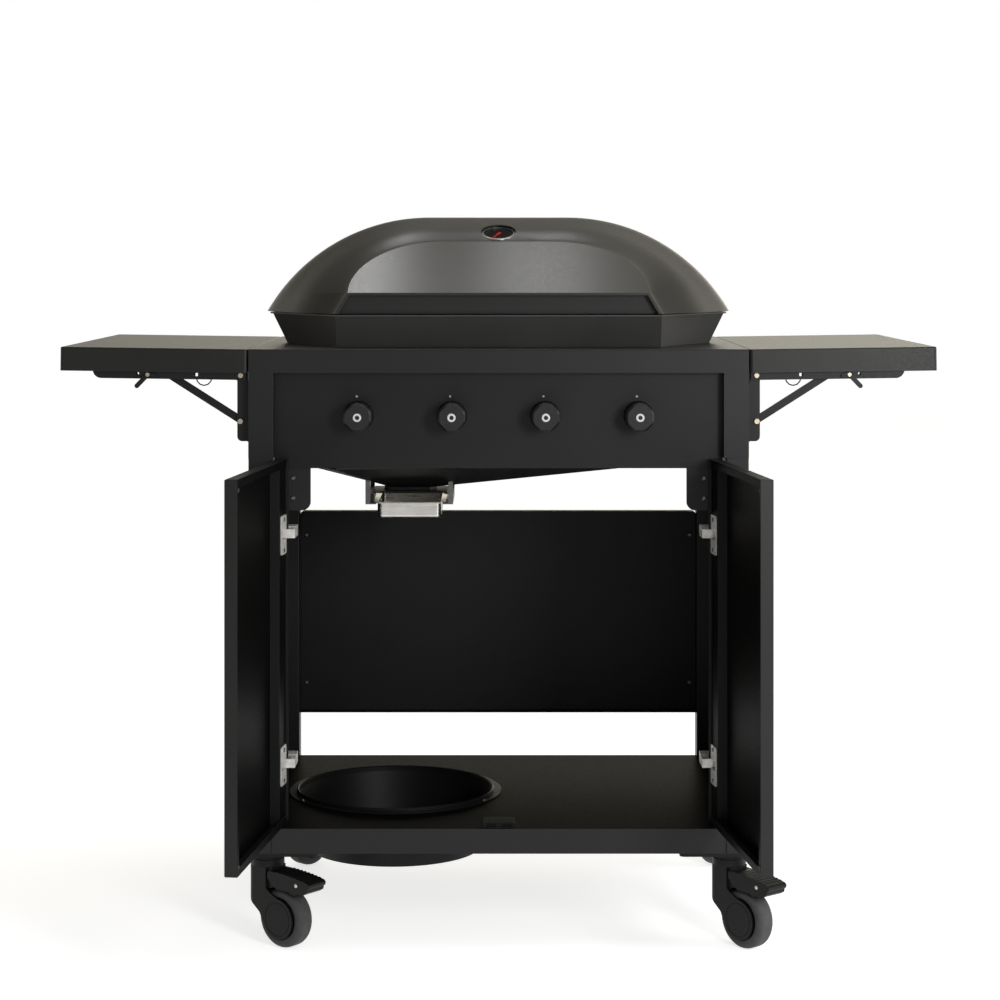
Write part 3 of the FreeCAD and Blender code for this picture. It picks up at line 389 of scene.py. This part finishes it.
def turn(work, centre, axis, profile, steps=32):
    """A solid of revolution from (radius, height) points along the axis, added to a bmesh."""
    first, second = side_of(axis)
    rings = []
    for radius, height in profile:
        if radius == 0.0:
            rings.append([work.verts.new(centre + axis * height)])
            continue
        ring = []
        for step in range(steps):
            angle = 2 * math.pi * step / steps
            ring.append(work.verts.new(centre + axis * height
                                       + (first * math.cos(angle) + second * math.sin(angle)) * radius))
        rings.append(ring)
    for low, high in zip(rings, rings[1:]):
        for step in range(steps):
            after = (step + 1) % steps
            corners = [low[step % len(low)], low[after % len(low)]]
            corners += [high[after % len(high)], high[step % len(high)]]
            work.faces.new(list(dict.fromkeys(corners)))


def close_ring(profile):
    return profile + profile[:1]


def bar(work, centre, along, across, up, size, bevel):
    """A straight bar with rounded edges, with its length, width and height along three directions."""
    turned = Matrix((along, across, up)).transposed().to_4x4()
    grown = Matrix.Diagonal((*size, 1.0))
    made = bmesh.ops.create_cube(work, size=1.0, matrix=Matrix.Translation(centre) @ turned @ grown)
    edges = {edge for vert in made["verts"] for edge in vert.link_edges}
    bmesh.ops.bevel(work, geom=list(edges), offset=bevel, segments=2, affect="EDGES", profile=0.5)


def screw_head(work, at, out, radius, rise):
    """A round-headed screw with a driver recess, standing on a face."""
    turn(work, at, out, [(0.0, rise * 0.35), (radius * 0.32, rise * 0.35), (radius * 0.36, rise * 0.9),
                         (radius * 0.55, rise), (radius * 0.85, rise * 0.7), (radius, rise * 0.15),
                         (radius, -0.0002), (0.0, -0.0002)], 24)


# White ring on each knob, and the printed dot above it
ACROSS = Vector((1, 0, 0))
FACING = Vector((0, -1, 0))
RING_OUTER, RING_INNER, RING_RISE = 0.0067, 0.0034, 0.0006
DOT_RADIUS, DOT_RISE = 0.0020, 0.0005
DOT_SHIFT, DOT_Z = -0.003, 0.8873
SUNK = 0.0002
for number, x in enumerate(KNOB_X, 1):
    face = Vector((x, KNOB_FACE_Y, KNOB_Z))
    ring_profile = close_ring([(RING_INNER, -SUNK), (RING_OUTER, -SUNK), (RING_OUTER, RING_RISE * 0.6),
                               (RING_OUTER - 0.0003, RING_RISE), (RING_INNER + 0.0003, RING_RISE),
                               (RING_INNER, RING_RISE * 0.6)])
    new_piece("knob_ring_%d" % number, lambda work: turn(work, face, FACING, ring_profile, 40), PRINT,
              "knob_body_%d" % number)
    dot = Vector((x + DOT_SHIFT, PANEL_Y, DOT_Z))
    dot_profile = [(0.0, -SUNK), (DOT_RADIUS, -SUNK), (DOT_RADIUS, DOT_RISE * 0.4),
                   (DOT_RADIUS * 0.65, DOT_RISE * 0.8), (0.0, DOT_RISE)]
    new_piece("panel_dot_%d" % number, lambda work: turn(work, dot, FACING, dot_profile, 20), DOT, "cart")


# Marks round the thermometer dial
MARK_REACH = 0.0228


def gauge_marks(work):
    uphill = GAUGE_OUT.cross(ACROSS)
    for step in range(21):
        spin = math.radians(-130 + 13 * step)
        out = ACROSS * math.sin(spin) + uphill * math.cos(spin)
        length = 0.0042 if step % 5 == 0 else 0.0026
        at = GAUGE_AT + GAUGE_OUT * DIAL_RISE + out * (MARK_REACH - length / 2)
        bar(work, at, out, GAUGE_OUT.cross(out), GAUGE_OUT, (length, 0.0007, 0.0003), 0.0001)


new_piece("gauge_marks", gauge_marks, MARK, "hood")


# Rubber bumpers inside the free edge of each door, and the screws of its hinges
def at_door(side, x, depth, z):
    """A place on an open door, given as x, depth behind the cart front and height on the shut left door."""
    turned = Matrix.Rotation(-DOOR_OPEN, 3, "Z") @ (Vector((x, FRONT_Y + depth, z)) - DOOR_PIVOT) + DOOR_PIVOT
    return Vector((turned.x * -side, turned.y, turned.z))


DOOR_LIP = 0.020
BUMPER_X = -0.0075
BUMPER_Z = {"low": 0.2235, "high": 0.7715}
CUP_X, CUP_DEPTH, CUP_SPREAD = -0.3385, 0.0178, 0.0245
PLATE_X, PLATE_DEPTH, PLATE_SPREAD = 0.360, 0.045, 0.022
SCREW_RADIUS = 0.0038
for side, name in ((-1, "left"), (1, "right")):
    inward = Vector((-side * math.sin(DOOR_OPEN), math.cos(DOOR_OPEN), 0.0))
    for level, z in BUMPER_Z.items():
        spot = at_door(side, BUMPER_X, DOOR_LIP, z)
        dome = [(0.0, 0.0016), (0.0016, 0.0015), (0.0030, 0.0010), (0.0038, 0.0), (0.0038, -0.0004),
                (0.0, -0.0004)]
        new_piece("%s_bumper_%s" % (name, level), lambda work: turn(work, spot, inward, dome, 24), BUMPER,
                  name + "_door_leaf")

    def cup_screws(work):
        for z in HINGE_Z:
            for lift in (-CUP_SPREAD, CUP_SPREAD):
                screw_head(work, at_door(side, CUP_X, CUP_DEPTH, z + lift), inward, SCREW_RADIUS, 0.0016)

    def plate_screws(work):
        for z in HINGE_Z:
            for lift in (-PLATE_SPREAD, PLATE_SPREAD):
                spot = Vector((side * PLATE_X, FRONT_Y + PLATE_DEPTH, z + lift))
                screw_head(work, spot, ACROSS * -side, SCREW_RADIUS, 0.0018)

    new_piece(name + "_cup_screws", cup_screws, SCREW, name + "_door_leaf")
    new_piece(name + "_plate_screws", plate_screws, SCREW, "cart")

# Rivets on the pivots of the front brake pedals
CASTER_X, CASTER_DEPTH = 0.3745, 0.064
PEDAL_REACH, PEDAL_Z, PEDAL_PIN = 0.081, 0.107, 0.0197
for name, x, yaw in (("front_left", -CASTER_X, -39.0), ("front_right", CASTER_X, -51.0)):
    heading = Matrix.Rotation(math.radians(yaw), 3, "Z")

    def rivets(work):
        for end in (-1, 1):
            local = heading @ Vector((PEDAL_REACH, end * PEDAL_PIN, PEDAL_Z))
            head = [(0.0, 0.0009), (0.0016, 0.0008), (0.0028, 0.0004), (0.0033, 0.0), (0.0033, -0.0003),
                    (0.0, -0.0003)]
            spot = local + Vector((x, FRONT_Y + CASTER_DEPTH, 0))
            turn(work, spot, heading @ Vector((0, end, 0)), head, 24)

    new_piece("pedal_rivets_" + name, rivets, NICKEL, "swivel_" + name)

# Floor, backdrop and studio light
FLOOR_HALF = 14.0


def pale_floor(name):
    """White studio floor: it shows as white, and keeps a soft shadow under the grill."""
    material, tree, shader = start_material(name)
    where = place(tree)
    cloud = noise(tree, where, 1.2, 3.0)
    white = ramp(tree, cloud, [(0.3, (0.86, 0.86, 0.86)), (0.7, (0.90, 0.90, 0.90))])
    tree.links.new(white, shader.inputs["Base Color"])
    tree.links.new(spread(tree, cloud, 0.75, 0.85), shader.inputs["Roughness"])
    shader.inputs["Specular IOR Level"].default_value = 0.0
    rays = tree.nodes.new("ShaderNodeLightPath")
    seen = maths(tree, "MAXIMUM", rays.outputs["Is Camera Ray"], rays.outputs["Is Glossy Ray"])
    tree.links.new(maths(tree, "MULTIPLY", seen, 0.70), shader.inputs["Emission Strength"])
    shader.inputs["Emission Color"].default_value = (1, 1, 1, 1)
    return material


def lay_floor():
    mesh = bpy.data.meshes.new("floor")
    corners = [(-FLOOR_HALF, -FLOOR_HALF, 0), (FLOOR_HALF, -FLOOR_HALF, 0), (FLOOR_HALF, FLOOR_HALF, 0),
               (-FLOOR_HALF, FLOOR_HALF, 0)]
    mesh.from_pydata(corners, [], [(0, 1, 2, 3)])
    mesh.materials.append(pale_floor("floor_white"))
    floor = bpy.data.objects.new("floor", mesh)
    bpy.context.scene.collection.objects.link(floor)


def ranged(tree, value, start, stop, low, high):
    """A smooth step from low to high as the value runs from start to stop."""
    node = tree.nodes.new("ShaderNodeMapRange")
    node.interpolation_type = "SMOOTHSTEP"
    node.inputs["From Min"].default_value = start
    node.inputs["From Max"].default_value = stop
    node.inputs["To Min"].default_value = low
    node.inputs["To Max"].default_value = high
    tree.links.new(value, node.inputs["Value"])
    return node.outputs["Result"]


def set_world():
    """White to the camera; in reflections a warm bright wall behind the grill and a dim studio before it."""
    world = bpy.data.worlds.new("studio")
    bpy.context.scene.world = world
    world.use_nodes = True
    tree = world.node_tree
    back = tree.nodes["Background"]
    rays = tree.nodes.new("ShaderNodeLightPath")
    where = tree.nodes.new("ShaderNodeTexCoord")
    split = tree.nodes.new("ShaderNodeSeparateXYZ")
    tree.links.new(where.outputs["Generated"], split.inputs["Vector"])
    studio = ranged(tree, split.outputs["X"], -0.35, 0.40, 0.14, 0.50)
    wall = ranged(tree, split.outputs["X"], -0.40, 0.40, 0.92, 3.20)
    wall = maths(tree, "MULTIPLY", wall, ranged(tree, split.outputs["X"], 0.20, 0.50, 1.0, 0.50))
    wall = maths(tree, "MULTIPLY", wall, ranged(tree, split.outputs["Z"], 0.08, 0.42, 1.0, 0.23))
    share = ranged(tree, split.outputs["Y"], -0.25, 0.45, 0.0, 1.0)
    gain = maths(tree, "SUBTRACT", wall, studio)
    strength = maths(tree, "ADD", studio, maths(tree, "MULTIPLY", share, gain))
    unseen = maths(tree, "SUBTRACT", 1.0, rays.outputs["Is Camera Ray"])
    strength = maths(tree, "ADD", rays.outputs["Is Camera Ray"], maths(tree, "MULTIPLY", unseen, strength))
    tint = mixed(tree, maths(tree, "MULTIPLY", unseen, share), (1.0, 1.0, 1.0), (1.0, 0.95, 0.81))
    tree.links.new(tint, back.inputs["Color"])
    tree.links.new(strength, back.inputs["Strength"])


def softbox(name, at, target, size, power):
    data = bpy.data.lights.new(name, "AREA")
    data.shape = "RECTANGLE"
    data.size, data.size_y = size
    data.energy = power
    lamp = bpy.data.objects.new(name, data)
    aim = (Vector(target) - Vector(at)).to_track_quat("-Z", "Y")
    lamp.matrix_world = Matrix.Translation(at) @ aim.to_matrix().to_4x4()
    bpy.context.scene.collection.objects.link(lamp)


def place_camera():
    """The photograph's view: level, from the front, with the picture shifted down."""
    data = bpy.data.cameras.new("camera")
    data.lens = CAMERA_LENS
    data.sensor_width = 36.0
    data.shift_x, data.shift_y = CAMERA_SHIFT
    camera = bpy.data.objects.new("camera", data)
    camera.location = CAMERA_AT
    camera.rotation_euler = (math.radians(90), 0, 0)
    bpy.context.scene.collection.objects.link(camera)
    bpy.context.scene.camera = camera


lay_floor()
set_world()
softbox("top_light", (0.3, -0.3, 3.4), (0, 0.1, 0.8), (3.0, 2.4), 14)
softbox("right_light", (3.2, -0.6, 1.6), (0, 0.1, 0.8), (1.6, 2.2), 30)
softbox("right_front_light", (1.2, -2.4, 1.28), (0.4, 0.0, 0.9), (0.5, 0.9), 27)
softbox("hood_strip_left", (-0.28, 0.34, 1.95), (-0.28, 0.34, 0.0), (0.12, 0.34), 1.6)
softbox("hood_strip_middle", (0.08, 0.33, 1.95), (0.08, 0.33, 0.0), (0.20, 0.30), 1.0)
place_camera()
bpy.context.scene.view_settings.view_transform = "Standard"
